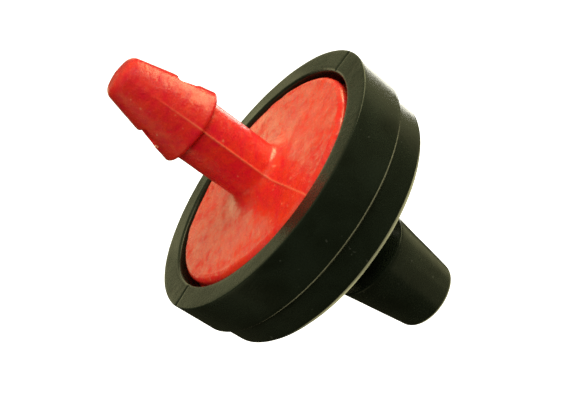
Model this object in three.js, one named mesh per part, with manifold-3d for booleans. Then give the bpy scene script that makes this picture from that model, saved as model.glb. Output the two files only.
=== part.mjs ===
// Pressure-compensating button drip emitter, in millimetres with +Z up.
// A barbed inlet base snaps into an outlet cover, and a loose silicone diaphragm floats between them.
// The origin is on the axis, in the plane of the cover's front rim, which seats against the pipe wall.
// The barb points up, into the supply pipe, and the outlet spigot points down.
import * as THREE from 'three';
import { mergeVertices } from 'three/addons/utils/BufferGeometryUtils.js';
import Module from 'manifold-3d';

// Every turned face uses the same number of sides, so that nested faces keep their clearance all round.
const SIDES = 48;
const ARC_STEPS = 4;

// Outlet cover: a stepped cup. Depths are measured down from its front rim.
const coverFrontRadius = 9.35;
const coverStepRadius = 9.3;
const coverStepDepth = 3.1;
const coverBodyRadius = 8.95;
const coverBackRadius = 8.9;
const coverDepth = 5.3;
const coverEdge = 0.15;
const coverBackEdge = 0.45;
const openingRadius = 7.9;
const openingChamfer = 0.15;
const floorDepth = 4.0;

// Snap groove inside the cover, and the bead on the base that sits in it.
const grooveRadius = 8.14;
const grooveTopDepth = 2.1;
const grooveBottomDepth = 3.1;
const grooveRamp = 0.24;
const beadRadius = 8.04;
const beadDepth = 2.6;
const beadHalfHeight = 0.3;

// Outlet spigot, with its bore: a waisted stem, and below it a tapered barb for a micro tube.
const spigotRootRadius = 3.3;
const spigotFillet = 0.3;
const spigotWaistRadius = 2.1;
const spigotShoulderDepth = 9.35;
const spigotShoulderRadius = 3.08;
const spigotShoulderRound = 0.12;
const spigotEndRadius = 2.42;
const spigotEndDepth = 14.9;
const spigotEndRound = 0.4;
const spigotBoreRadius = 1.2;
const spigotBoreDepth = 6.4;
const meteringRadius = 0.6;
const boreCone = 0.4;

// Labyrinth: a raised ring on the cover's floor with a zigzag groove cut in it.
const landOuterRadius = 5.7;
const landInnerRadius = 2.0;
const landTopDepth = 3.4;
const zigzagDepth = 0.5;
const zigzagInnerRadius = 3.3;
const zigzagOuterRadius = 4.6;
const zigzagWidth = 0.8;
const zigzagSteps = 22;
const zigzagStepAngle = THREE.MathUtils.degToRad(15);
const portWidth = 0.7;

// Inlet base: the disc that shows in the cover's opening, and the skirt behind it.
const discRadius = 7.44;
const discFaceDepth = 0.1;
const discRound = 0.3;
const discThickness = 1.2;
const skirtRadius = 7.84;
const skirtInnerRadius = 6.4;
const skirtEndDepth = 3.95;
const baseBackDepth = 1.6;
const stopRibCount = 6;
const stopRibInnerRadius = 2.2;
const stopRibOuterRadius = 5.6;
const stopRibWidth = 0.8;
const stopRibEndDepth = 2.1;

// Neck and barb. Heights are measured up from the cover's front rim.
const neckRadius = 1.93;
const neckRootWidth = 1.6;
const neckRootHeight = 0.75;
const shoulderHeight = 5.0;
const shoulderRadius = 2.45;
const shoulderRound = 0.12;
const coneBreakHeight = 7.85;
const coneBreakRadius = 1.9;
const noseHeight = 10.48;
const noseRadius = 1.4;
const noseRound = 0.62;
const noseCrown = 0.1;
const inletBoreRadius = 0.95;
const inletBoreTop = 7.9;
const windowBottom = 6.2;
const windowTop = 7.5;
const windowTopWidth = 1.86;
const windowBottomWidth = 1.24;

// Diaphragm: it rests against the stop ribs and moves down 0.3 onto the labyrinth under pressure.
const diaphragmRadius = 5.95;
const diaphragmTopDepth = 2.15;
const diaphragmThickness = 0.9;
const diaphragmChamfer = 0.12;

const wasm = await Module();
wasm.setup();

// Points of a round corner, from startAngle to endAngle in degrees about a centre in the profile plane.
// A tallness other than the radius makes it a quarter of an ellipse.
function corner(centreRadius, centreHeight, radius, startAngle, endAngle, tallness = radius) {
  const points = [];
  for (let i = 0; i <= ARC_STEPS; i++) {
    const angle = THREE.MathUtils.degToRad(THREE.MathUtils.lerp(startAngle, endAngle, i / ARC_STEPS));
    points.push([centreRadius + radius * Math.cos(angle), centreHeight + tallness * Math.sin(angle)]);
  }
  return points;
}

// Turns a profile of [radius, height] points about the Z axis.
function turned(profile) {
  const points = profile.map(([radius, height]) => new THREE.Vector2(radius, height));
  return new THREE.LatheGeometry(points, SIDES).rotateX(Math.PI / 2);
}

function toSolid(geometry) {
  const bare = geometry.clone();
  bare.deleteAttribute('normal');
  bare.deleteAttribute('uv');
  const merged = mergeVertices(bare, 1e-4);
  const corners = [];
  for (let i = 0; i < merged.index.count; i += 3) {
    const [a, b, c] = [0, 1, 2].map((k) => merged.index.getX(i + k));
    if (a !== b && b !== c && c !== a) corners.push(a, b, c);
  }
  return new wasm.Manifold(new wasm.Mesh({
    numProp: 3,
    vertProperties: new Float32Array(merged.attributes.position.array),
    triVerts: new Uint32Array(corners),
  }));
}

function toMesh(solid, name, material) {
  const { vertProperties, triVerts } = solid.getMesh();
  const geometry = new THREE.BufferGeometry();
  geometry.setAttribute('position', new THREE.BufferAttribute(new Float32Array(vertProperties), 3));
  geometry.setIndex(new THREE.BufferAttribute(new Uint32Array(triVerts), 1));
  geometry.computeVertexNormals();
  const mesh = new THREE.Mesh(geometry, material);
  mesh.name = name;
  return mesh;
}

// A bar along a radius, from one radius to another, at an angle about the axis.
function radialBar(innerRadius, outerRadius, width, bottom, top, angle) {
  return new THREE.BoxGeometry(outerRadius - innerRadius, width, top - bottom)
    .translate((innerRadius + outerRadius) / 2, 0, (bottom + top) / 2)
    .rotateZ(angle);
}

// The zigzag channel of the labyrinth: its centre line swings between two radii as it goes round.
function zigzagGeometry() {
  const outer = [];
  const inner = [];
  for (let i = 0; i <= zigzagSteps; i++) {
    const middle = i % 2 === 0 ? zigzagOuterRadius : zigzagInnerRadius;
    const direction = new THREE.Vector2(1, 0).rotateAround(new THREE.Vector2(), i * zigzagStepAngle);
    outer.push(direction.clone().multiplyScalar(middle + zigzagWidth / 2));
    inner.push(direction.clone().multiplyScalar(middle - zigzagWidth / 2));
  }
  const shape = new THREE.Shape([...outer, ...inner.reverse()]);
  return new THREE.ExtrudeGeometry(shape, { depth: 2 * zigzagDepth, bevelEnabled: false })
    .translate(0, 0, -landTopDepth - zigzagDepth);
}

// The slot that makes both side windows of the barb. It is narrower towards the shoulder.
function windowGeometry() {
  const shape = new THREE.Shape([
    new THREE.Vector2(-windowBottomWidth / 2, windowBottom),
    new THREE.Vector2(windowBottomWidth / 2, windowBottom),
    new THREE.Vector2(windowTopWidth / 2, windowTop),
    new THREE.Vector2(-windowTopWidth / 2, windowTop),
  ]);
  return new THREE.ExtrudeGeometry(shape, { depth: 2 * shoulderRadius, bevelEnabled: false })
    .translate(0, 0, -shoulderRadius)
    .rotateX(Math.PI / 2)
    .rotateZ(Math.PI / 2);
}

function makeCover() {
  const shell = toSolid(turned([
    [spigotBoreRadius, -spigotEndDepth],
    ...corner(spigotEndRadius - spigotEndRound, -spigotEndDepth + spigotEndRound, spigotEndRound, -90, 0),
    [spigotShoulderRadius, -spigotShoulderDepth - spigotShoulderRound],
    [spigotShoulderRadius - spigotShoulderRound, -spigotShoulderDepth],
    [spigotWaistRadius, -spigotShoulderDepth],
    [spigotRootRadius, -coverDepth - spigotFillet],
    [spigotRootRadius + spigotFillet, -coverDepth],
    ...corner(coverBackRadius - coverBackEdge, -coverDepth + coverBackEdge, coverBackEdge, -90, 0),
    [coverBodyRadius, -coverStepDepth],
    [coverStepRadius - coverEdge / 2, -coverStepDepth],
    [coverStepRadius, -coverStepDepth + coverEdge / 2],
    ...corner(coverFrontRadius - coverEdge, -coverEdge, coverEdge, 0, 90),
    [openingRadius + openingChamfer, 0],
    [openingRadius, -openingChamfer],
    [openingRadius, -grooveTopDepth],
    [grooveRadius, -grooveTopDepth - grooveRamp],
    [grooveRadius, -grooveBottomDepth + grooveRamp],
    [openingRadius, -grooveBottomDepth],
    [openingRadius, -floorDepth],
    [landOuterRadius, -floorDepth],
    [landOuterRadius, -landTopDepth],
    [landInnerRadius, -landTopDepth],
    [landInnerRadius, -floorDepth],
    [meteringRadius, -floorDepth],
    [meteringRadius, -spigotBoreDepth],
    [spigotBoreRadius, -spigotBoreDepth - boreCone],
    [spigotBoreRadius, -spigotEndDepth],
  ]));
  const portBottom = -landTopDepth - zigzagDepth;
  const portTop = -landTopDepth + zigzagDepth;
  const inletPort = radialBar(zigzagOuterRadius, landOuterRadius + 0.5, portWidth, portBottom, portTop, 0);
  const endAngle = zigzagSteps * zigzagStepAngle;
  const outletPort = radialBar(
    landInnerRadius - 0.5, zigzagOuterRadius, portWidth, portBottom, portTop, endAngle);
  return shell
    .subtract(toSolid(zigzagGeometry()))
    .subtract(toSolid(inletPort))
    .subtract(toSolid(outletPort));
}

function makeBase() {
  let base = toSolid(turned([
    [0, inletBoreTop],
    [inletBoreRadius, inletBoreTop],
    [inletBoreRadius, -baseBackDepth],
    [skirtInnerRadius, -baseBackDepth],
    [skirtInnerRadius, -skirtEndDepth],
    [skirtRadius, -skirtEndDepth],
    [skirtRadius, -beadDepth - beadHalfHeight],
    [beadRadius, -beadDepth],
    [skirtRadius, -beadDepth + beadHalfHeight],
    [skirtRadius, -discThickness - (skirtRadius - discRadius)],
    [discRadius, -discThickness],
    ...corner(discRadius - discRound, -discFaceDepth - discRound, discRound, 0, 90),
    ...corner(neckRadius + neckRootWidth, -discFaceDepth + neckRootHeight, neckRootWidth, 270, 180, neckRootHeight),
    [neckRadius, shoulderHeight],
    [shoulderRadius - shoulderRound, shoulderHeight],
    [shoulderRadius, shoulderHeight + shoulderRound],
    [coneBreakRadius, coneBreakHeight],
    ...corner(noseRadius - noseRound, noseHeight - noseCrown - noseRound, noseRound, 15, 80),
    [0, noseHeight],
  ]));
  base = base.subtract(toSolid(windowGeometry()));
  for (let i = 0; i < stopRibCount; i++) {
    const angle = (i * 2 * Math.PI) / stopRibCount;
    const rib = radialBar(
      stopRibInnerRadius, stopRibOuterRadius, stopRibWidth, -stopRibEndDepth, -baseBackDepth + 0.3, angle);
    base = base.add(toSolid(rib));
  }
  return base;
}

function makeDiaphragm() {
  const bottom = -diaphragmTopDepth - diaphragmThickness;
  const top = -diaphragmTopDepth;
  return toSolid(turned([
    [0, bottom],
    [diaphragmRadius - diaphragmChamfer, bottom],
    [diaphragmRadius, bottom + diaphragmChamfer],
    [diaphragmRadius, top - diaphragmChamfer],
    [diaphragmRadius - diaphragmChamfer, top],
    [0, top],
  ]));
}

const redPlastic = new THREE.MeshStandardMaterial({ color: 0xe12a24, roughness: 0.42, metalness: 0 });
const blackPlastic = new THREE.MeshStandardMaterial({ color: 0x1a2017, roughness: 0.5, metalness: 0 });
const silicone = new THREE.MeshStandardMaterial({ color: 0xb9b4a6, roughness: 0.65, metalness: 0 });

const emitter = new THREE.Group();
emitter.add(
  toMesh(makeCover(), 'outlet_cover', blackPlastic),
  toMesh(makeBase(), 'inlet_base', redPlastic),
  toMesh(makeDiaphragm(), 'diaphragm', silicone),
);

export default emitter;
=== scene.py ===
"""Button drip emitter: the moulded surfaces, plastics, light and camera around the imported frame.

Lengths in this script are millimetres, and meshes are scaled to metres when they are made.
The axis is Z: the inlet barb points up, and the outlet spigot points down. A depth is measured down
from the cover's front rim, where Z is 0, and any other height is measured up from it.
"""

import math
import random

import bmesh
import bpy
from mathutils import Matrix, Vector, noise


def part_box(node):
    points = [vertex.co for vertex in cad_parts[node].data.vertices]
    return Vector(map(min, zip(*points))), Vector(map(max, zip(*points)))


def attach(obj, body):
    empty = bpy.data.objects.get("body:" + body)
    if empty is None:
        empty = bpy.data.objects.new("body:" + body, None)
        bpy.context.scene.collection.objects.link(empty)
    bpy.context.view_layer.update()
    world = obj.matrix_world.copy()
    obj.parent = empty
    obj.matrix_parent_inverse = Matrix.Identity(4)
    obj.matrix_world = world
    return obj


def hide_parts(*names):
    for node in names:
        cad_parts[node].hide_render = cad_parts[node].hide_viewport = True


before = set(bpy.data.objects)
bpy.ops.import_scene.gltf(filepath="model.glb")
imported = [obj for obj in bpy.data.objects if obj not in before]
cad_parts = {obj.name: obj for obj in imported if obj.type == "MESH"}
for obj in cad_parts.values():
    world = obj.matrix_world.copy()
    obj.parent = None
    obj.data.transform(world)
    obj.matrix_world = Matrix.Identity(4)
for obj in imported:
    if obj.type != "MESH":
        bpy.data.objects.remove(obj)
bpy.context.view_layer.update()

MM = 0.001
TOLERANCE = 1e-6


def box_mm(node):
    """Lowest and highest corner of a CAD node, in millimetres."""
    low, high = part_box(node)
    return low / MM, high / MM


cover_low, cover_high = box_mm("outlet_cover")
base_low, base_high = box_mm("inlet_base")
disc_low, disc_high = box_mm("diaphragm")

# Outlet cover.
COVER_RADIUS = cover_high.x
FRONT_EDGE_ROUND = 0.08
COVER_STEP_RADIUS = COVER_RADIUS - 0.05
COVER_STEP_DEPTH = 3.1
STEP_EDGE_SIZE = 0.28
STEP_EDGE_FLATNESS = 1.5
STEP_FILLET = 0.06
COVER_BODY_RADIUS = COVER_RADIUS - 0.4
COVER_BACK_RADIUS = COVER_RADIUS - 0.45
COVER_DEPTH = 5.3
BACK_EDGE_SIZE = 0.45
BACK_EDGE_FLATNESS = 1.6
OPENING_RADIUS = 7.9
LIP_RADIUS = 7.8
LIP_ROUND = 0.2
LIP_END = -0.9
LIP_RAMP = 0.15
FLOOR_DEPTH = 4.0
GROOVE_RADIUS = 8.14
GROOVE_TOP_DEPTH = 2.1
GROOVE_BOTTOM_DEPTH = 3.1
GROOVE_RAMP = 0.24
SPIGOT_END = cover_low.z
SPIGOT_ROOT_RADIUS = 3.3
SPIGOT_FILLET = 0.3
SPIGOT_WAIST_RADIUS = 2.1
SPIGOT_SHOULDER = -9.35
SPIGOT_SHOULDER_RADIUS = 3.08
SPIGOT_SHOULDER_ROUND = 0.12
SPIGOT_END_RADIUS = 2.42
SPIGOT_ROUND = 0.4
SPIGOT_TAPER = 6  # degrees, about the slope of the barb's side
SPIGOT_STEM_TAPER = 18  # degrees, the slope of the stem's side
SPIGOT_BORE_RADIUS = 1.2
SPIGOT_BORE_DEPTH = 6.4
SPIGOT_BORE_CONE = 0.4
METERING_RADIUS = 0.6

# Labyrinth on the cover's floor.
LAND_OUTER_RADIUS = 5.7
LAND_INNER_RADIUS = 2.0
LAND_DEPTH = 3.4
ZIGZAG_INNER_RADIUS = 3.3
ZIGZAG_OUTER_RADIUS = 4.6
ZIGZAG_WIDTH = 0.8
ZIGZAG_DEPTH = 0.5
ZIGZAG_STEPS = 22
ZIGZAG_STEP_ANGLE = math.radians(15)
CHANNEL_FLOOR = -LAND_DEPTH - ZIGZAG_DEPTH
CHANNEL_TOP = -LAND_DEPTH + ZIGZAG_DEPTH  # of the tools that cut the channel
PORT_WIDTH = 0.7
PORT_OVERRUN = 0.5

# Inlet base.
DISC_RADIUS = 7.44
DISC_FACE = -0.1
DISC_ROUND = 0.34
RIM_LINE_RADIUS = 7.02
RIM_LINE_PROFILE = ((0.05, 0.008), (0, 0.014), (-0.04, 0.009), (-0.10, 0))  # (outwards, upwards)
DISC_BACK_DEPTH = 1.2
SKIRT_RADIUS = 7.84
SKIRT_INNER_RADIUS = 6.4
SKIRT_END = base_low.z
BEAD_RADIUS = base_high.x
BEAD_DEPTH = 2.6
BEAD_HALF_HEIGHT = 0.3
BASE_BACK = -1.6
RIB_COUNT = 6
RIB_INNER_RADIUS = 2.2
RIB_OUTER_RADIUS = 5.6
RIB_WIDTH = 0.8
RIB_END = -2.1
RIB_OVERLAP = 0.3
NECK_RADIUS = 1.93
NECK_FILLET = 0.06
ROOT_WIDTH = 1.6
ROOT_HEIGHT = 0.75
ROOT_FLATNESS = 0.85
SHOULDER_HEIGHT = 5.0
SHOULDER_RADIUS = 2.45
SHOULDER_ROUND = 0.2
SHOULDER_INSET = 0.02
CONE_BREAK_HEIGHT = 7.85
CONE_BREAK_RADIUS = 1.9
NOSE_HEIGHT = base_high.z
NOSE_RADIUS = 1.40
NOSE_ROUND = 0.62
NOSE_CROWN = 0.1
NOSE_TIP_RADIUS = 0.3
NOSE_TIP_DROP = 0.01
INLET_BORE_RADIUS = 0.85
INLET_BORE_TOP = 7.9
INLET_BORE_OVERRUN = 0.3

# Side windows of the barb, and the patch of the cone that each one is fitted into.
WINDOW_BOTTOM = 6.2
WINDOW_TOP = 7.5
WINDOW_TOP_WIDTH = 1.86
WINDOW_BOTTOM_WIDTH = 1.24
WINDOW_CORNER = 0.25
WINDOW_ROUND = 0.12
PATCH_BOTTOM = 5.7
PATCH_TOP = 7.8
PATCH_COLUMNS = 10
PATCH_RINGS = (0.3, 0.6, 0.85)  # shares of the way from the patch's outline to the window's
WINDOW_ROUND_STEPS = 5
TUNNEL_STEPS = 8

# Angles, in degrees from +X, of the mould's parting plane and of the cover's two knit lines.
PARTING_ANGLES = (90, 270)
KNIT_ANGLES = (352, 186)

DIAPHRAGM_EDGE = 0.12

# Longest stretch of a profile between two rows of vertices.
COVER_ROWS = 0.22
COVER_INSIDE_ROWS = 0.9
BASE_ROWS = 0.13
BASE_HIDDEN_ROWS = 0.8
PATCH_ROWS = 0.105
DIAPHRAGM_ROWS = 0.4

# Vertex columns round each moulding, and offsets in degrees of the extra ones beside its lines.
COVER_COLUMNS = 180
KNIT_SPREAD = (0.5, 1.0, 1.6, 2.4)
BASE_COLUMNS = 96
PARTING_SPREAD = (0.8, 1.6, 2.6)
BORE_COLUMNS = 48
DIAPHRAGM_COLUMNS = 96

SHARP_ANGLE = math.radians(40)

# Gentle waves of the moulded surfaces, as (height, waves per millimetre).
COVER_WAVES = ((0.012, 0.45), (0.004, 2.2))
BASE_WAVES = ((0.01, 0.8), (0.004, 3.5))
DISC_WAVES = ((0.045, 0.9),)

# Small round spots of plastic, which are cut off at a few times their width.
SPOT_REACH = 3
SPOT_SHARPNESS = 0.6

# Pips on the cover's side, and pips and nicks on its front rim. Pairs are ranges.
COVER_SEED = 11
SIDE_PIPS = 16
SIDE_PIP_DEPTHS = (0.2, COVER_DEPTH)
SIDE_PIP_WIDTHS = (0.1, 0.22)
SIDE_PIP_RISES = (0.02, 0.05)
RIM_FLAWS = 10
RIM_FLAW_RADII = (OPENING_RADIUS + 0.3, COVER_RADIUS - 0.1)
RIM_FLAW_WIDTHS = (0.08, 0.16)
RIM_FLAW_RISES = (0.015, 0.035)

# Beads along the neck's parting line, and others round the neck. Pairs are ranges.
BASE_SEED = 5
LINE_BEADS = 7
LINE_BEAD_HEIGHTS = (1.2, SHOULDER_HEIGHT - 0.3)
LINE_BEAD_OFFSETS = (-0.04, 0.04)
LINE_BEAD_WIDTH = 0.09
LINE_BEAD_RISE = 0.04
NECK_BEADS = 6
NECK_BEAD_ANGLES = (15, 165)
NECK_BEAD_HEIGHTS = (1.6, SHOULDER_HEIGHT - 0.3)
NECK_BEAD_WIDTHS = (0.08, 0.12)
NECK_BEAD_RISES = (0.03, 0.05)

# Knit lines of the cover: grooves across its front rim, as (depth, width), and how far down they go.
KNIT_GROOVE = (0.05, 0.08)
KNIT_REACH = 0.35

# Marks along the base's parting plane, each as (height, width). The mismatch is the small step
# between the plastic of the mould's two halves.
BARB_RIDGE = (0.014, 0.05)
BARB_CREST = (0.02, 0.3)
NECK_RIDGE = (0.05, 0.06)
NECK_CREST = (0.10, 0.5)
DISC_RIDGE = (0.035, 0.065)
MISMATCH = (0.010, 0.05)

# Where those marks run out: below the nose, at the disc and towards the disc's edge. A fade is the
# length over which one does.
BARB_RIDGE_END = NOSE_HEIGHT - 1.6
BARB_RIDGE_FADE = 1.5
NECK_MARKS_RADIUS = NECK_RADIUS + 0.5
NECK_CREST_FADE = 0.8
DISC_RIDGE_END = DISC_RADIUS * 0.78
DISC_RIDGE_FADE = 0.8

# Unevenness of the ridges along their length.
RIDGE_MEAN = 0.8
RIDGE_CHANGE = 0.7
RIDGE_WAVES = 1.9

# Bounds of the surfaces that get no relief, as they are hidden or meet another piece.
COVER_INSIDE_RADIUS = OPENING_RADIUS + 0.05
COVER_INSIDE_BOTTOM = -COVER_DEPTH + 0.1
COVER_INSIDE_TOP = -LIP_ROUND - 0.01
BORE_WALL_RADIUS = INLET_BORE_RADIUS + 0.3
BORE_WALL_TOP = NOSE_HEIGHT - 1
TUNNEL_HALF_WIDTH = WINDOW_TOP_WIDTH / 2 + 0.02
TUNNEL_MARGIN = 0.35

# Where the disc's own waves begin.
DISC_WAVES_BOTTOM = DISC_FACE - 0.05
DISC_WAVES_RADIUS = NECK_RADIUS + 1


def arc(centre_radius, centre_height, radius, start, end, steps=6):
    """Points of a round corner in the profile plane, with angles in degrees."""
    points = []
    for i in range(steps + 1):
        angle = math.radians(start + (end - start) * i / steps)
        outwards, upwards = radius * math.cos(angle), radius * math.sin(angle)
        points.append((centre_radius + outwards, centre_height + upwards))
    return points


def eased_corner(radius, height, width, tallness, flatness, steps=12):
    """Points that ease the corner of a flat face and an upright side, from the face to the side.

    The corner is at (radius, height), and the curve begins and ends at width and tallness from it. A
    flatness of 1 makes a quarter of an ellipse, 2 a chamfer, and less than 1 stays near the corner.
    """
    points = []
    for i in range(steps + 1):
        angle = math.pi / 2 * i / steps
        outwards = width * (1 - math.sin(angle) ** flatness)
        upwards = tallness * (1 - max(0, math.cos(angle)) ** flatness)
        points.append((radius + outwards, height + upwards))
    return points


def refined(profile, step):
    """The profile with its long stretches cut into equal ones, each about as long as step."""
    points = [profile[0]]
    for (r0, z0), (r1, z1) in zip(profile, profile[1:]):
        pieces = max(1, round(math.hypot(r1 - r0, z1 - z0) / step))
        for i in range(1, pieces + 1):
            points.append((r0 + (r1 - r0) * i / pieces, z0 + (z1 - z0) * i / pieces))
    return points


def column_angles(count, clusters=(), spread=()):
    """Evenly spread column angles in radians, with extra columns close to each cluster angle."""
    degrees = [i * 360 / count for i in range(count)]
    for centre in clusters:
        degrees.append(centre)
        for offset in spread:
            degrees += [centre - offset, centre + offset]
    return [math.radians(angle) for angle in sorted({round(angle % 360, 4) for angle in degrees})]


def on_circle(radius, angle, height):
    return Vector((radius * math.cos(angle), radius * math.sin(angle), height))


def revolve(bm, profile, angles, left_out=lambda row, column: False):
    """Turns a profile about the axis into bm, and returns its rows of vertices.

    A closed profile repeats its first point, and a point on the axis gives a single vertex.
    """
    closed = profile[0] == profile[-1]
    points = profile[:-1] if closed else profile
    rows = []
    for radius, height in points:
        if radius < TOLERANCE:
            rows.append([bm.verts.new((0, 0, height))] * len(angles))
        else:
            rows.append([bm.verts.new(on_circle(radius, angle, height)) for angle in angles])
    last = len(rows) if closed else len(rows) - 1
    for i in range(last):
        lower, upper = rows[i], rows[(i + 1) % len(rows)]
        for j in range(len(angles)):
            if left_out(i, j):
                continue
            k = (j + 1) % len(angles)
            corners = dict.fromkeys((lower[j], lower[k], upper[k], upper[j]))
            bm.faces.new(list(corners))
    return rows


def finish_mesh(bm, name):
    """Makes an object of bm, in metres, with outward faces and smooth shading between sharp edges."""
    bm.normal_update()
    bmesh.ops.recalc_face_normals(bm, faces=bm.faces)
    bm.transform(Matrix.Scale(MM, 4))
    mesh = bpy.data.meshes.new(name)
    bm.to_mesh(mesh)
    bm.free()
    mesh.shade_smooth()
    mesh.set_sharp_from_angle(angle=SHARP_ANGLE)
    made = bpy.data.objects.new(name, mesh)
    bpy.context.scene.collection.objects.link(made)
    return made


def carve(target, tool, operation):
    """Joins a tool to target or cuts it away, and removes the tool."""
    modifier = target.modifiers.new("carve", "BOOLEAN")
    modifier.operation = operation
    modifier.solver = "MANIFOLD"
    modifier.object = tool
    depsgraph = bpy.context.evaluated_depsgraph_get()
    mesh = bpy.data.meshes.new_from_object(target.evaluated_get(depsgraph))
    target.modifiers.remove(modifier)
    target.data = mesh
    bpy.data.objects.remove(tool)


def bar(inner_radius, outer_radius, width, bottom, top, angle):
    """A bar along a radius, used as a tool for carve."""
    bm = bmesh.new()
    scale = Matrix.Diagonal((outer_radius - inner_radius, width, top - bottom, 1))
    centre = Vector(((inner_radius + outer_radius) / 2, 0, (bottom + top) / 2))
    bmesh.ops.create_cube(bm, size=1, matrix=Matrix.Translation(centre) @ scale)
    bm.transform(Matrix.Rotation(angle, 4, "Z"))
    return finish_mesh(bm, "bar")


def zigzag():
    """The labyrinth's channel, used as a tool for carve."""
    bm = bmesh.new()
    sections = []
    for i in range(ZIGZAG_STEPS + 1):
        middle = ZIGZAG_INNER_RADIUS if i % 2 else ZIGZAG_OUTER_RADIUS
        inner, outer = middle - ZIGZAG_WIDTH / 2, middle + ZIGZAG_WIDTH / 2
        corners = (
            (inner, CHANNEL_FLOOR),
            (outer, CHANNEL_FLOOR),
            (outer, CHANNEL_TOP),
            (inner, CHANNEL_TOP),
        )
        angle = i * ZIGZAG_STEP_ANGLE
        sections.append([bm.verts.new(on_circle(radius, angle, height)) for radius, height in corners])
    for first, second in zip(sections, sections[1:]):
        for k in range(4):
            bm.faces.new((first[k], first[(k + 1) % 4], second[(k + 1) % 4], second[k]))
    bm.faces.new(sections[0])
    bm.faces.new(sections[-1])
    return finish_mesh(bm, "zigzag")


def displace(piece, height_at):
    """Moves each vertex along its normal by height_at(position), in millimetres."""
    mesh = piece.data
    moved = [vertex.co + vertex.normal * (height_at(vertex.co / MM) * MM) for vertex in mesh.vertices]
    for vertex, place in zip(mesh.vertices, moved):
        vertex.co = place
    mesh.update()


def bell(distance, width):
    return math.exp(-((distance / width) ** 2))


def clamped(value):
    return min(1, max(0, value))


def waves_height(place, waves):
    return sum(height * noise.noise(place * scale) for height, scale in waves)


def ridge(distance, shape):
    """Height of a round line of plastic, given as (height, width), at a distance from it."""
    height, width = shape
    return height * bell(distance, width)


def crest(distance, shape):
    """Height of a sharp crest with long flanks, given as (height, width), at a distance from it."""
    height, width = shape
    return height * math.exp(-abs(distance) / width)


def spots_height(place, spots):
    """Height that small round spots, given as (position, width, height), add at a place."""
    height = 0
    for centre, width, rise in spots:
        distance = (place - centre).length
        if distance < SPOT_REACH * width:
            height += rise * bell(distance, width * SPOT_SHARPNESS)
    return height


# ---------------------------------------------------------------- outlet cover

def cover_profile():
    outside = refined([
        (SPIGOT_BORE_RADIUS, SPIGOT_END),
        *arc(SPIGOT_END_RADIUS - SPIGOT_ROUND, SPIGOT_END + SPIGOT_ROUND, SPIGOT_ROUND,
             -90, -SPIGOT_TAPER, steps=8),
        *arc(SPIGOT_SHOULDER_RADIUS - SPIGOT_SHOULDER_ROUND, SPIGOT_SHOULDER - SPIGOT_SHOULDER_ROUND,
             SPIGOT_SHOULDER_ROUND, -SPIGOT_TAPER, 90),
        (SPIGOT_WAIST_RADIUS, SPIGOT_SHOULDER),
        *arc(SPIGOT_ROOT_RADIUS + SPIGOT_FILLET, -COVER_DEPTH - SPIGOT_FILLET, SPIGOT_FILLET,
             180 + SPIGOT_STEM_TAPER, 90, steps=4),
        *eased_corner(COVER_BACK_RADIUS, -COVER_DEPTH, -BACK_EDGE_SIZE, BACK_EDGE_SIZE,
                      BACK_EDGE_FLATNESS),
        *arc(COVER_BODY_RADIUS + STEP_FILLET, -COVER_STEP_DEPTH - STEP_FILLET, STEP_FILLET,
             180, 90, steps=3),
        *eased_corner(COVER_STEP_RADIUS, -COVER_STEP_DEPTH, -STEP_EDGE_SIZE, STEP_EDGE_SIZE,
                      STEP_EDGE_FLATNESS),
        *arc(COVER_RADIUS - FRONT_EDGE_ROUND, -FRONT_EDGE_ROUND, FRONT_EDGE_ROUND, 0, 90, steps=5),
        *arc(LIP_RADIUS + LIP_ROUND, -LIP_ROUND, LIP_ROUND, 90, 180),
    ], COVER_ROWS)
    inside = refined([
        (LIP_RADIUS, -LIP_ROUND),
        (LIP_RADIUS, LIP_END),
        (OPENING_RADIUS, LIP_END - LIP_RAMP),
        (OPENING_RADIUS, -GROOVE_TOP_DEPTH),
        (GROOVE_RADIUS, -GROOVE_TOP_DEPTH - GROOVE_RAMP),
        (GROOVE_RADIUS, -GROOVE_BOTTOM_DEPTH + GROOVE_RAMP),
        (OPENING_RADIUS, -GROOVE_BOTTOM_DEPTH),
        (OPENING_RADIUS, -FLOOR_DEPTH),
        (LAND_OUTER_RADIUS, -FLOOR_DEPTH),
        (LAND_OUTER_RADIUS, -LAND_DEPTH),
        (LAND_INNER_RADIUS, -LAND_DEPTH),
        (LAND_INNER_RADIUS, -FLOOR_DEPTH),
        (METERING_RADIUS, -FLOOR_DEPTH),
        (METERING_RADIUS, -SPIGOT_BORE_DEPTH),
        (SPIGOT_BORE_RADIUS, -SPIGOT_BORE_DEPTH - SPIGOT_BORE_CONE),
        (SPIGOT_BORE_RADIUS, SPIGOT_END),
    ], COVER_INSIDE_ROWS)
    return outside + inside[1:]


def cover_flaws():
    """Pips on the cover's side, and pips and nicks on its rim, each as (position, width, height)."""
    draw = random.Random(COVER_SEED)
    flaws = []
    for _ in range(SIDE_PIPS):
        angle = draw.uniform(0, 2 * math.pi)
        place = on_circle(COVER_RADIUS, angle, -draw.uniform(*SIDE_PIP_DEPTHS))
        flaws.append((place, draw.uniform(*SIDE_PIP_WIDTHS), draw.uniform(*SIDE_PIP_RISES)))
    for _ in range(RIM_FLAWS):
        angle = draw.uniform(0, 2 * math.pi)
        place = on_circle(draw.uniform(*RIM_FLAW_RADII), angle, 0)
        width = draw.uniform(*RIM_FLAW_WIDTHS)
        direction = draw.choice((-1, 1))
        flaws.append((place, width, direction * draw.uniform(*RIM_FLAW_RISES)))
    return flaws


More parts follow.
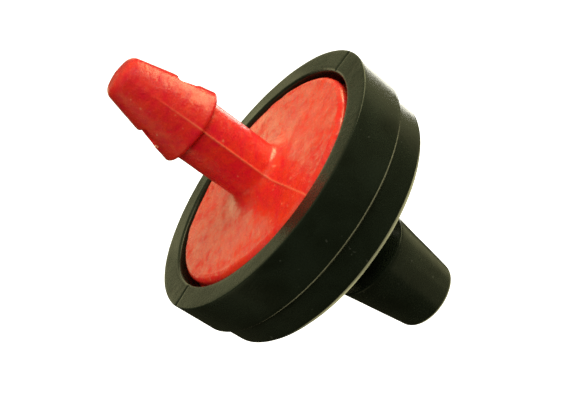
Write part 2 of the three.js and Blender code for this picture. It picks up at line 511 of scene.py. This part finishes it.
def cover_relief():
    """Makes the function that gives the height of the cover's waves, knit lines, pips and nicks."""
    flaws = cover_flaws()
    knits = [on_circle(1, math.radians(angle), 0) for angle in KNIT_ANGLES]

    def relief(place):
        radius = math.hypot(place.x, place.y)
        if radius < COVER_INSIDE_RADIUS and COVER_INSIDE_BOTTOM < place.z < COVER_INSIDE_TOP:
            return 0
        height = waves_height(place, COVER_WAVES)
        for knit in knits:
            along = place.dot(knit)
            if place.z > -KNIT_REACH and along > 0:
                height -= ridge((place - knit * along).length, KNIT_GROOVE)
        return height + spots_height(place, flaws)

    return relief


def make_cover():
    bm = bmesh.new()
    revolve(bm, cover_profile(), column_angles(COVER_COLUMNS, KNIT_ANGLES, KNIT_SPREAD))
    cover = finish_mesh(bm, "outlet_cover_moulding")
    carve(cover, zigzag(), "DIFFERENCE")
    last_angle = ZIGZAG_STEPS * ZIGZAG_STEP_ANGLE
    ports = (
        (ZIGZAG_OUTER_RADIUS, LAND_OUTER_RADIUS + PORT_OVERRUN, 0),
        (LAND_INNER_RADIUS - PORT_OVERRUN, ZIGZAG_OUTER_RADIUS, last_angle),
    )
    for inner_radius, outer_radius, angle in ports:
        port = bar(inner_radius, outer_radius, PORT_WIDTH, CHANNEL_FLOOR, CHANNEL_TOP, angle)
        carve(cover, port, "DIFFERENCE")
    displace(cover, cover_relief())
    cover.data.set_sharp_from_angle(angle=SHARP_ANGLE)
    return cover


# ---------------------------------------------------------------- inlet base

def cone_radius(height):
    """Radius of the barb's cone at a height between the shoulder and the break."""
    share = (height - SHOULDER_HEIGHT) / (CONE_BREAK_HEIGHT - SHOULDER_HEIGHT)
    return SHOULDER_RADIUS + (CONE_BREAK_RADIUS - SHOULDER_RADIUS) * share


def base_profile():
    flare = SKIRT_RADIUS - DISC_RADIUS
    hidden = refined([
        (0, BASE_BACK),
        (SKIRT_INNER_RADIUS, BASE_BACK),
        (SKIRT_INNER_RADIUS, SKIRT_END),
        (SKIRT_RADIUS, SKIRT_END),
        (SKIRT_RADIUS, -BEAD_DEPTH - BEAD_HALF_HEIGHT),
        (BEAD_RADIUS, -BEAD_DEPTH),
        (SKIRT_RADIUS, -BEAD_DEPTH + BEAD_HALF_HEIGHT),
        (SKIRT_RADIUS, -DISC_BACK_DEPTH - flare),
        (DISC_RADIUS, -DISC_BACK_DEPTH),
    ], BASE_HIDDEN_ROWS)
    disc = refined([
        (DISC_RADIUS, -DISC_BACK_DEPTH),
        *arc(DISC_RADIUS - DISC_ROUND, DISC_FACE - DISC_ROUND, DISC_ROUND, 0, 90, steps=8),
        *((RIM_LINE_RADIUS + outwards, DISC_FACE + upwards) for outwards, upwards in RIM_LINE_PROFILE),
        *eased_corner(NECK_RADIUS, DISC_FACE, ROOT_WIDTH, ROOT_HEIGHT, ROOT_FLATNESS, steps=24),
        (NECK_RADIUS, SHOULDER_HEIGHT - NECK_FILLET),
        *arc(NECK_RADIUS + NECK_FILLET, SHOULDER_HEIGHT - NECK_FILLET, NECK_FILLET, 180, 90, steps=3),
        *arc(SHOULDER_RADIUS - SHOULDER_ROUND - SHOULDER_INSET, SHOULDER_HEIGHT + SHOULDER_ROUND,
             SHOULDER_ROUND, -90, 0, steps=7),
        (cone_radius(PATCH_BOTTOM), PATCH_BOTTOM),
    ], BASE_ROWS)
    patch = refined([
        (cone_radius(PATCH_BOTTOM), PATCH_BOTTOM),
        (cone_radius(PATCH_TOP), PATCH_TOP),
    ], PATCH_ROWS)
    nose = refined([
        (cone_radius(PATCH_TOP), PATCH_TOP),
        (CONE_BREAK_RADIUS, CONE_BREAK_HEIGHT),
        *arc(NOSE_RADIUS - NOSE_ROUND, NOSE_HEIGHT - NOSE_CROWN - NOSE_ROUND, NOSE_ROUND,
             15, 80, steps=7),
        (NOSE_TIP_RADIUS, NOSE_HEIGHT - NOSE_TIP_DROP),
        (0, NOSE_HEIGHT),
    ], BASE_ROWS)
    return hidden + disc[1:] + patch[1:] + nose[1:]


def window_outline(u, v, grow):
    """Offset along Y and height of a point of the window's rounded outline, grown outwards.

    The point stands for (u, v), which is on the edge of a square from -1 to 1.
    """
    half_width = (WINDOW_TOP_WIDTH + WINDOW_BOTTOM_WIDTH) / 4 + grow
    half_height = (WINDOW_TOP - WINDOW_BOTTOM) / 2 + grow
    corner_radius = WINDOW_CORNER + grow
    y, z = u * half_width, v * half_height
    past_y = abs(y) - (half_width - corner_radius)
    past_z = abs(z) - (half_height - corner_radius)
    if past_y > 0 and past_z > 0:
        scale = corner_radius / math.hypot(past_y, past_z)
        y = math.copysign(half_width - corner_radius + past_y * scale, y)
        z = math.copysign(half_height - corner_radius + past_z * scale, z)
    taper = (WINDOW_TOP_WIDTH - WINDOW_BOTTOM_WIDTH) / (WINDOW_TOP_WIDTH + WINDOW_BOTTOM_WIDTH)
    return y * (1 + taper * z / half_height), z + (WINDOW_BOTTOM + WINDOW_TOP) / 2


def nearest_row(heights, wanted):
    return min(range(len(heights)), key=lambda row: abs(heights[row] - wanted))


def opposite_column(angles, column):
    """Index of the column that mirrors a given one through the YZ plane."""
    wanted = (math.pi - angles[column]) % (2 * math.pi)
    return min(range(len(angles)), key=lambda other: abs(angles[other] - wanted))


def square_outline(tall):
    """Points (u, v) round a square from -1 to 1, one for each vertex of a patch's outline."""
    columns = range(-PATCH_COLUMNS, PATCH_COLUMNS)
    bottom = [(k / PATCH_COLUMNS, -1) for k in columns]
    right = [(1, -1 + 2 * i / tall) for i in range(tall)]
    top = [(-u, 1) for u, _ in bottom]
    left = [(-1, -v) for _, v in right]
    return bottom + right + top + left


def window_rings(bm, around, boundary, side):
    """Rings of vertices from a patch's outline to the window, over its edge and along the tunnel."""
    rings = [boundary]
    for share in PATCH_RINGS:
        ring = []
        for (u, v), outer in zip(around, boundary):
            y, z = window_outline(u, v, WINDOW_ROUND)
            z = outer.co.z + (z - outer.co.z) * share
            y = outer.co.y + (y - outer.co.y) * share
            ring.append(bm.verts.new((side * math.sqrt(cone_radius(z) ** 2 - y * y), y, z)))
        rings.append(ring)
    for step in range(WINDOW_ROUND_STEPS + 1):
        turn = math.radians(90 * step / WINDOW_ROUND_STEPS)
        ring = []
        for u, v in around:
            y, z = window_outline(u, v, WINDOW_ROUND * (1 - math.sin(turn)))
            x = math.sqrt(cone_radius(z) ** 2 - y * y) - WINDOW_ROUND * (1 - math.cos(turn))
            ring.append(bm.verts.new((side * x, y, z)))
        rings.append(ring)
    edge = rings[-1]
    for step in range(1, TUNNEL_STEPS):
        inwards = 1 - step / TUNNEL_STEPS
        places = [(vertex.co.x * inwards, vertex.co.y, vertex.co.z) for vertex in edge]
        rings.append([bm.verts.new(place) for place in places])
    return rings


def cut_windows(bm, rows, heights, angles):
    """Fills the two patches left out of the cone with window edges and one tunnel between them."""
    first_row = nearest_row(heights, PATCH_BOTTOM)
    tall = nearest_row(heights, PATCH_TOP) - first_row
    around = square_outline(tall)
    middle = [bm.verts.new((0, *window_outline(u, v, 0))) for u, v in around]
    for side in (1, -1):
        boundary = []
        for u, v in around:
            row = first_row + round((v + 1) / 2 * tall)
            column = round(u * PATCH_COLUMNS)
            boundary.append(rows[row][column if side == 1 else opposite_column(angles, column)])
        rings = [*window_rings(bm, around, boundary, side), middle]
        for outer, inner in zip(rings, rings[1:]):
            for k in range(len(around)):
                following = (k + 1) % len(around)
                bm.faces.new((outer[k], outer[following], inner[following], inner[k]))


def base_shell():
    """The base without its bore and its ribs."""
    angles = column_angles(BASE_COLUMNS, PARTING_ANGLES, PARTING_SPREAD)
    profile = base_profile()
    heights = [height for _, height in profile]
    in_rows = [PATCH_BOTTOM - TOLERANCE <= height <= PATCH_TOP + TOLERANCE for height in heights]
    in_columns = set()
    for centre in (0, opposite_column(angles, 0)):
        for offset in range(-PATCH_COLUMNS, PATCH_COLUMNS):
            in_columns.add((centre + offset) % len(angles))

    def in_patch(row, column):
        return in_rows[row] and in_rows[row + 1] and column in in_columns

    bm = bmesh.new()
    rows = revolve(bm, profile, angles, in_patch)
    cut_windows(bm, rows, heights, angles)
    return finish_mesh(bm, "inlet_base_moulding")


def inlet_bore():
    """The bore of the inlet barb, used as a tool for carve."""
    bottom = BASE_BACK - INLET_BORE_OVERRUN
    profile = [
        (0, bottom),
        (INLET_BORE_RADIUS, bottom),
        (INLET_BORE_RADIUS, INLET_BORE_TOP),
        (0, INLET_BORE_TOP),
    ]
    bm = bmesh.new()
    revolve(bm, profile, column_angles(BORE_COLUMNS))
    return finish_mesh(bm, "bore")


def base_beads():
    """Beads on the neck and along its parting line, each as (position, width, height)."""
    draw = random.Random(BASE_SEED)
    beads = []
    for side in (-1, 1):
        for _ in range(LINE_BEADS):
            height = draw.uniform(*LINE_BEAD_HEIGHTS)
            place = Vector((draw.uniform(*LINE_BEAD_OFFSETS), side * NECK_RADIUS, height))
            beads.append((place, LINE_BEAD_WIDTH, LINE_BEAD_RISE))
        for _ in range(NECK_BEADS):
            angle = math.radians(draw.uniform(*NECK_BEAD_ANGLES)) * side
            place = on_circle(NECK_RADIUS, angle, draw.uniform(*NECK_BEAD_HEIGHTS))
            beads.append((place, draw.uniform(*NECK_BEAD_WIDTHS), draw.uniform(*NECK_BEAD_RISES)))
    return beads


def is_inside_base(place, radius):
    """Whether a place is behind the disc, in the bore or in the tunnel between the windows."""
    if place.z < -DISC_BACK_DEPTH:
        return True
    if radius < BORE_WALL_RADIUS and place.z < BORE_WALL_TOP:
        return True
    at_windows = PATCH_BOTTOM < place.z < PATCH_TOP and abs(place.y) < TUNNEL_HALF_WIDTH
    return at_windows and abs(place.x) < cone_radius(place.z) - TUNNEL_MARGIN


def parting_height(place, radius):
    """Height of the marks along the parting plane, which differ on the barb, the neck and the disc."""
    along = Vector((0, 0, place.z * RIDGE_WAVES + place.y))
    uneven = RIDGE_MEAN + RIDGE_CHANGE * noise.noise(along)
    if place.z > SHOULDER_HEIGHT:
        fade = clamped((BARB_RIDGE_END - place.z) / BARB_RIDGE_FADE)
        return uneven * fade * ridge(place.x, BARB_RIDGE) + crest(place.x, BARB_CREST)
    step_height, step_width = MISMATCH
    mismatch = step_height * math.tanh(place.x / step_width)
    if radius < NECK_MARKS_RADIUS:
        fade = clamped(place.z / NECK_CREST_FADE)
        return uneven * ridge(place.x, NECK_RIDGE) + mismatch + fade * crest(place.x, NECK_CREST)
    fade = clamped((DISC_RIDGE_END - radius) / DISC_RIDGE_FADE)
    return (uneven * ridge(place.x, DISC_RIDGE) + mismatch) * fade


def base_relief():
    """Makes the function that gives the height of the base's waves, parting marks and beads."""
    beads = base_beads()

    def relief(place):
        radius = math.hypot(place.x, place.y)
        if is_inside_base(place, radius):
            return 0
        height = waves_height(place, BASE_WAVES) + parting_height(place, radius)
        if place.z > DISC_WAVES_BOTTOM and radius > DISC_WAVES_RADIUS:
            height += waves_height(Vector((place.x, place.y, 0)), DISC_WAVES)
        return height + spots_height(place, beads)

    return relief


def make_base():
    base = base_shell()
    carve(base, inlet_bore(), "DIFFERENCE")
    for i in range(RIB_COUNT):
        angle = i * 2 * math.pi / RIB_COUNT
        top = BASE_BACK + RIB_OVERLAP
        rib = bar(RIB_INNER_RADIUS, RIB_OUTER_RADIUS, RIB_WIDTH, RIB_END, top, angle)
        carve(base, rib, "UNION")
    displace(base, base_relief())
    base.data.set_sharp_from_angle(angle=SHARP_ANGLE)
    return base


# ---------------------------------------------------------------- diaphragm

def make_diaphragm():
    radius, bottom, top = disc_high.x, disc_low.z, disc_high.z
    profile = refined([
        (0, bottom),
        *arc(radius - DIAPHRAGM_EDGE, bottom + DIAPHRAGM_EDGE, DIAPHRAGM_EDGE, -90, 0, steps=4),
        *arc(radius - DIAPHRAGM_EDGE, top - DIAPHRAGM_EDGE, DIAPHRAGM_EDGE, 0, 90, steps=4),
        (0, top),
    ], DIAPHRAGM_ROWS)
    bm = bmesh.new()
    revolve(bm, profile, column_angles(DIAPHRAGM_COLUMNS))
    return finish_mesh(bm, "diaphragm_disc")


# ---------------------------------------------------------------- materials

# Way the plastic flowed across the disc as it filled its mould.
FLOW_DIRECTION = Vector((0.54, 0.84, 0)).normalized()
FLOW_STRETCH = 0.3

RED_DEEP = (0.70, 0.009, 0.024)
RED_PALE = (0.80, 0.037, 0.013)
RED_FLASH = (0.88, 0.15, 0.07)
RED_SPECK = (0.88, 0.22, 0.12)
BLACK_DEEP = (0.0078, 0.0110, 0.0060)
BLACK_PALE = (0.0135, 0.0190, 0.0112)
BLACK_DUST = (0.05, 0.055, 0.042)
SILICONE_DEEP = (0.42, 0.39, 0.32)
SILICONE_PALE = (0.55, 0.52, 0.45)


def colour_sockets(sockets):
    return [socket for socket in sockets if socket.type == "RGBA"]


class Shader:
    """A Principled material whose maps are made from object coordinates in millimetres."""

    def __init__(self, name, **constants):
        self.material = bpy.data.materials.new(name)
        self.material.use_nodes = True
        self.nodes = self.material.node_tree.nodes
        self.links = self.material.node_tree.links
        self.principled = self.nodes["Principled BSDF"]
        for socket, value in constants.items():
            self.principled.inputs[socket.replace("_", " ")].default_value = value
        coordinates = self.nodes.new("ShaderNodeTexCoord")
        scaled = self.node("ShaderNodeVectorMath", "SCALE", coordinates.outputs["Object"])
        scaled.inputs["Scale"].default_value = 1 / MM
        self.place = scaled.outputs[0]

    def feed(self, socket, value):
        """Links a socket to another node's output, or sets it to a plain value."""
        if isinstance(value, bpy.types.NodeSocket):
            self.links.new(value, socket)
        else:
            socket.default_value = value

    def node(self, kind, operation, *values):
        node = self.nodes.new(kind)
        node.operation = operation
        for socket, value in zip(node.inputs, values):
            self.feed(socket, value)
        return node

    def math(self, operation, *values):
        return self.node("ShaderNodeMath", operation, *values).outputs[0]

    def noise(self, place, scale, detail=3.0, distortion=0.0):
        """Soft noise about 0.5, with a number of waves per millimetre."""
        node = self.nodes.new("ShaderNodeTexNoise")
        node.inputs["Scale"].default_value = scale
        node.inputs["Detail"].default_value = detail
        node.inputs["Distortion"].default_value = distortion
        self.feed(node.inputs["Vector"], place)
        return node.outputs["Fac"]

    def spread(self, value, between, to=(0.0, 1.0)):
        """Maps the values between two limits evenly to a new range, and cuts off those outside."""
        node = self.nodes.new("ShaderNodeMapRange")
        node.inputs["From Min"].default_value, node.inputs["From Max"].default_value = between
        node.inputs["To Min"].default_value, node.inputs["To Max"].default_value = to
        self.feed(node.inputs["Value"], value)
        return node.outputs["Result"]

    def mix(self, share, first, second):
        """Mixes two colours, each a socket or an RGB triple."""
        node = self.nodes.new("ShaderNodeMix")
        node.data_type = "RGBA"
        self.feed(node.inputs["Factor"], share)
        for socket, value in zip(colour_sockets(node.inputs), (first, second)):
            self.feed(socket, value if isinstance(value, bpy.types.NodeSocket) else (*value, 1))
        return colour_sockets(node.outputs)[0]

    def surface(self, name, value):
        self.feed(self.principled.inputs[name], value)

    def bump(self, *layers):
        """Adds height layers given as (value, height in millimetres)."""
        normal = None
        for value, height in layers:
            node = self.nodes.new("ShaderNodeBump")
            node.inputs["Distance"].default_value = height * MM
            self.feed(node.inputs["Height"], value)
            if normal is not None:
                self.feed(node.inputs["Normal"], normal)
            normal = node.outputs["Normal"]
        self.surface("Normal", normal)

    def axis_value(self, name):
        split = self.nodes.new("ShaderNodeSeparateXYZ")
        self.feed(split.inputs[0], self.place)
        return split.outputs[name]

    def near_parting(self, width):
        """1 on the mould's parting plane, where x is 0, and falling to 0 on both sides of it."""
        return self.spread(self.math("ABSOLUTE", self.axis_value("X")), (0.0, width), (1.0, 0.0))

    def below(self, full, none):
        """1 under one height, and falling to 0 at a greater one."""
        return self.spread(self.axis_value("Z"), (full, none), (1.0, 0.0))

    def stretched_place(self, direction, share):
        """Coordinates that change slowly along a direction, so that noise forms streaks along it."""
        along = self.node("ShaderNodeVectorMath", "DOT_PRODUCT", self.place, direction)
        removed = self.node("ShaderNodeVectorMath", "SCALE", direction * (1 - share))
        self.feed(removed.inputs["Scale"], along.outputs["Value"])
        return self.node("ShaderNodeVectorMath", "SUBTRACT", self.place, removed.outputs[0]).outputs[0]


def red_plastic():
    """Glossy red with flow streaks, flash and pale specks, and painted light and shade: paler on the
    disc, deeper on the barb and neck.
    """
    shader = Shader("red_plastic", IOR=1.56)
    clouds = shader.noise(shader.place, scale=0.55, detail=4, distortion=0.8)
    mottle = shader.noise(shader.place, scale=2.4, detail=2, distortion=0.3)
    blotches = shader.noise(shader.place, scale=0.85, distortion=0.6)
    streaks = shader.stretched_place(FLOW_DIRECTION, FLOW_STRETCH)
    flow = shader.noise(streaks, scale=2.6, detail=2, distortion=0.2)
    grain = shader.noise(shader.place, scale=6, detail=2)
    on_disc = shader.below(full=0.3, none=1.2)

    pale = shader.spread(shader.math("ADD", clouds, flow), between=(0.7, 1.3))
    # Painted light and shade: the disc's red is made paler and more orange for the lit disc, and the
    # barb's and neck's red deeper for the shaded neck.
    pale = shader.math("ADD", pale, shader.spread(on_disc, between=(0, 1), to=(-0.10, 0.25)))
    tint = shader.mix(pale, RED_DEEP, RED_PALE)
    flash = shader.math("MULTIPLY", shader.near_parting(width=0.09), shader.below(full=5.0, none=8.5))
    tint = shader.mix(flash, tint, RED_FLASH)
    specks = shader.noise(shader.place, scale=2.6, detail=1)
    specks = shader.spread(specks, between=(0.72, 0.78), to=(0.0, 0.6))
    shader.surface("Base Color", shader.mix(specks, tint, RED_SPECK))

    uneven = shader.math("MULTIPLY", shader.math("ADD", flow, mottle), 0.5)
    uneven = shader.spread(shader.math("ADD", blotches, uneven), between=(0.84, 1.16), to=(-0.5, 0.5))
    uneven = shader.math("MULTIPLY", uneven, shader.spread(on_disc, between=(0, 1), to=(0.35, 1.05)))
    level = shader.math("ADD", uneven, shader.spread(on_disc, between=(0, 1), to=(0.42, 0.60)))
    shader.surface("Specular IOR Level", level)
    rough = shader.spread(shader.math("ADD", mottle, grain), between=(0.7, 1.3), to=(0.18, 0.32))
    shader.surface("Roughness", rough)
    shader.bump((flow, 0.020), (mottle, 0.030), (grain, 0.018))
    return shader.material


def black_plastic():
    """Semi-gloss greenish black, with slow patches, a fine grain and a little dust."""
    shader = Shader("black_plastic", IOR=1.45, Specular_IOR_Level=0.46)
    patches = shader.noise(shader.place, scale=0.4, detail=4, distortion=0.5)
    grain = shader.noise(shader.place, scale=7, detail=4)
    dust = shader.spread(shader.noise(shader.place, scale=3.1, detail=1), between=(0.74, 0.80))
    tint = shader.mix(shader.spread(patches, between=(0.35, 0.65)), BLACK_DEEP, BLACK_PALE)
    shader.surface("Base Color", shader.mix(dust, tint, BLACK_DUST))
    rough = shader.spread(shader.math("ADD", patches, grain), between=(0.6, 1.4), to=(0.20, 0.32))
    shader.surface("Roughness", rough)
    shader.bump((grain, 0.008), (patches, 0.03))
    return shader.material


def silicone():
    """Matt, milky rubber."""
    shader = Shader("silicone", IOR=1.41)
    cloud = shader.noise(shader.place, scale=0.8)
    grain = shader.noise(shader.place, scale=12, detail=2)
    shader.surface("Base Color", shader.mix(cloud, SILICONE_DEEP, SILICONE_PALE))
    shader.surface("Roughness", shader.spread(cloud, between=(0.3, 0.7), to=(0.55, 0.72)))
    shader.bump((grain, 0.006))
    return shader.material


# ---------------------------------------------------------------- pieces

def place_piece(piece, node, body, material):
    piece.data.materials.clear()
    piece.data.materials.append(material)
    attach(piece, body)
    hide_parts(node)


place_piece(make_cover(), "outlet_cover", "housing", black_plastic())
place_piece(make_base(), "inlet_base", "housing", red_plastic())
place_piece(make_diaphragm(), "diaphragm", "diaphragm", silicone())

# ---------------------------------------------------------------- floor, light and camera

FLOOR_DROP = 20
FLOOR_SIZE = 4000

# The studio's soft light: an even fill, and patches of light given as (direction, cosine of the angle
# from it where the patch begins, cosine where it is full, strength).
WORLD_FILL = 0.03
WORLD_TINT = (1.0, 0.95, 0.50)
WORLD_PATCHES = (
    ((0.70, -0.10, 0.70), -0.20, 1.00, 0.25),
    ((-0.13, 0.92, 0.37), 0.93, 0.978, 0.07),
    ((-0.10, 0.90, 0.43), 0.975, 0.990, 0.13),
    ((0.33, 0.935, 0.12), 0.975, 0.994, 0.80),
    ((-0.18, 0.97, 0.14), 0.978, 0.994, 0.90),
    ((-1.00, -0.15, 0.05), 0.85, 0.98, 0.35),
    ((0.80, 0.42, -0.42), 0.90, 0.98, 0.32),
    ((0.09, 0.26, -0.96), 0.79, 0.93, 1.8),
)

# Very soft suns: name, direction they shine from, angle in degrees, strength and tint.
SUNS = (
    ("sky", (0.45, -0.05, 0.88), 120, 1.51, (1.0, 0.97, 0.72)),
    ("front", (0.05, -0.85, 0.55), 14, 0.7, (1, 1, 1)),
)

# Large white panels with no mirror image: name, place, size and watts. They face the origin.
FILL_PANELS = (
    ("key", (80, -30, 45), (80, 80), 0.038),
    ("left_fill", (-65, -35, 60), (60, 60), 0.016),
)

# Small panels that the plastic reflects: name, place, size, watts, the point they face, and tint.
SHEEN_PANELS = (
    ("barb_light", (30, 1, 7), (34, 13), 0.0051, (0, 1, 7), WORLD_TINT),
    ("disc_left_light", (-4.5, 19, 7.5), (6, 7), 0.00007, (0, 0, 0), WORLD_TINT),
    ("disc_right_light", (2.5, 19, 5.5), (8, 4), 0.00008, (0, 0, 0), WORLD_TINT),
    ("root_light", (7, 19, 6), (7, 5), 0.00006, (3, 0, 0), WORLD_TINT),
    ("edge_light", (19.5, 18, -9.5), (13, 14), 0.0024, (8, 3, -3), (1, 0.98, 0.86)),
    ("spigot_light", (13, 0, -22), (20, 10), 0.00015, (2, 0, -11), WORLD_TINT),
    ("spigot_fill", (4, -9, -22), (12, 10), 0.00009, (1, -1, -12), WORLD_TINT),
)

# The camera looks down a little, and is rolled so that the barb points up and to the left.
CAMERA_AIM = Vector((-0.12, 0, -2.73))
CAMERA_DISTANCE = 56.3
CAMERA_AZIMUTH = math.radians(-4.6)
CAMERA_ELEVATION = math.radians(22.68)
CAMERA_ROLL = math.radians(54.36)
CAMERA_LENS = 56.22
CAMERA_SENSOR = 36
CAMERA_NEAR = 1
CAMERA_FAR = 100000


def make_floor():
    """A plain white floor, which the emitter neither reflects nor takes light from."""
    bm = bmesh.new()
    bmesh.ops.create_grid(bm, x_segments=8, y_segments=8, size=FLOOR_SIZE / 2)
    bm.transform(Matrix.Translation((0, 0, SPIGOT_END - FLOOR_DROP)))
    floor = finish_mesh(bm, "floor")
    material = bpy.data.materials.new("floor_white")
    material.use_nodes = True
    principled = material.node_tree.nodes["Principled BSDF"]
    principled.inputs["Base Color"].default_value = (0.9, 0.9, 0.9, 1)
    principled.inputs["Roughness"].default_value = 0.9
    principled.inputs["Emission Color"].default_value = (1, 1, 1, 1)
    principled.inputs["Emission Strength"].default_value = 1.0
    floor.data.materials.append(material)
    floor.visible_glossy = False
    floor.visible_diffuse = False


def add_patch(tree, incoming, total, patch):
    """Adds one patch of light to the world's total strength, and returns the new total."""
    direction, begins, full, strength = patch
    towards = tree.nodes.new("ShaderNodeVectorMath")
    towards.operation = "DOT_PRODUCT"
    towards.inputs[1].default_value = Vector(direction).normalized()
    tree.links.new(incoming, towards.inputs[0])
    lobe = tree.nodes.new("ShaderNodeMapRange")
    lobe.interpolation_type = "SMOOTHSTEP"
    lobe.inputs["From Min"].default_value = begins
    lobe.inputs["From Max"].default_value = full
    lobe.inputs["To Max"].default_value = strength
    tree.links.new(towards.outputs["Value"], lobe.inputs["Value"])
    added = tree.nodes.new("ShaderNodeMath")
    tree.links.new(total, added.inputs[0])
    tree.links.new(lobe.outputs["Result"], added.inputs[1])
    return added.outputs[0]


def make_world():
    """The studio's soft light, behind a plain white backdrop."""
    world = bpy.data.worlds.new("studio")
    bpy.context.scene.world = world
    world.use_nodes = True
    tree = world.node_tree
    incoming = tree.nodes.new("ShaderNodeTexCoord").outputs["Generated"]
    total = tree.nodes.new("ShaderNodeValue").outputs[0]
    total.default_value = WORLD_FILL
    for patch in WORLD_PATCHES:
        total = add_patch(tree, incoming, total, patch)
    on_backdrop = tree.nodes.new("ShaderNodeLightPath").outputs["Is Camera Ray"]
    strength = tree.nodes.new("ShaderNodeMath")
    strength.operation = "MAXIMUM"
    tree.links.new(total, strength.inputs[0])
    tree.links.new(on_backdrop, strength.inputs[1])
    tint = tree.nodes.new("ShaderNodeMix")
    tint.data_type = "RGBA"
    light_tint, backdrop_tint = colour_sockets(tint.inputs)
    light_tint.default_value = (*WORLD_TINT, 1)
    backdrop_tint.default_value = (1, 1, 1, 1)
    tree.links.new(on_backdrop, tint.inputs["Factor"])
    background = tree.nodes["Background"]
    tree.links.new(strength.outputs[0], background.inputs["Strength"])
    tree.links.new(colour_sockets(tint.outputs)[0], background.inputs["Color"])


def add_light(name, lamp, facing, is_reflected):
    """Adds a lamp that shines along a direction."""
    light = bpy.data.objects.new(name, lamp)
    light.rotation_euler = Vector(facing).to_track_quat("-Z", "Y").to_euler()
    light.visible_camera = False
    light.visible_glossy = is_reflected
    bpy.context.scene.collection.objects.link(light)
    return light


def make_sun(name, place, angle, strength, tint):
    lamp = bpy.data.lights.new(name, "SUN")
    lamp.angle = math.radians(angle)
    lamp.energy = strength
    lamp.color = tint
    add_light(name, lamp, -Vector(place), is_reflected=False)


def make_panel(name, place, size, watts, aim=(0, 0, 0), tint=(1, 1, 1), is_reflected=True):
    lamp = bpy.data.lights.new(name, "AREA")
    lamp.shape = "RECTANGLE"
    lamp.size, lamp.size_y = (side * MM for side in size)
    lamp.energy = watts
    lamp.color = tint
    light = add_light(name, lamp, Vector(aim) - Vector(place), is_reflected)
    light.location = Vector(place) * MM


def make_camera():
    back = Vector((
        math.sin(CAMERA_AZIMUTH) * math.cos(CAMERA_ELEVATION),
        -math.cos(CAMERA_AZIMUTH) * math.cos(CAMERA_ELEVATION),
        math.sin(CAMERA_ELEVATION),
    ))
    lens = bpy.data.cameras.new("camera")
    lens.lens = CAMERA_LENS
    lens.sensor_width = CAMERA_SENSOR
    lens.clip_start = CAMERA_NEAR * MM
    lens.clip_end = CAMERA_FAR * MM
    camera = bpy.data.objects.new("camera", lens)
    bpy.context.scene.collection.objects.link(camera)
    roll = Matrix.Rotation(-CAMERA_ROLL, 3, "Z")
    rotation = (-back).to_track_quat("-Z", "Y").to_matrix() @ roll
    place = Matrix.Translation((CAMERA_AIM + back * CAMERA_DISTANCE) * MM)
    camera.matrix_world = place @ rotation.to_4x4()
    bpy.context.scene.camera = camera


make_floor()
make_world()
for sun in SUNS:
    make_sun(*sun)
for panel in FILL_PANELS:
    make_panel(*panel, is_reflected=False)
for panel in SHEEN_PANELS:
    make_panel(*panel)
make_camera()
bpy.context.scene.view_settings.view_transform = "Standard"
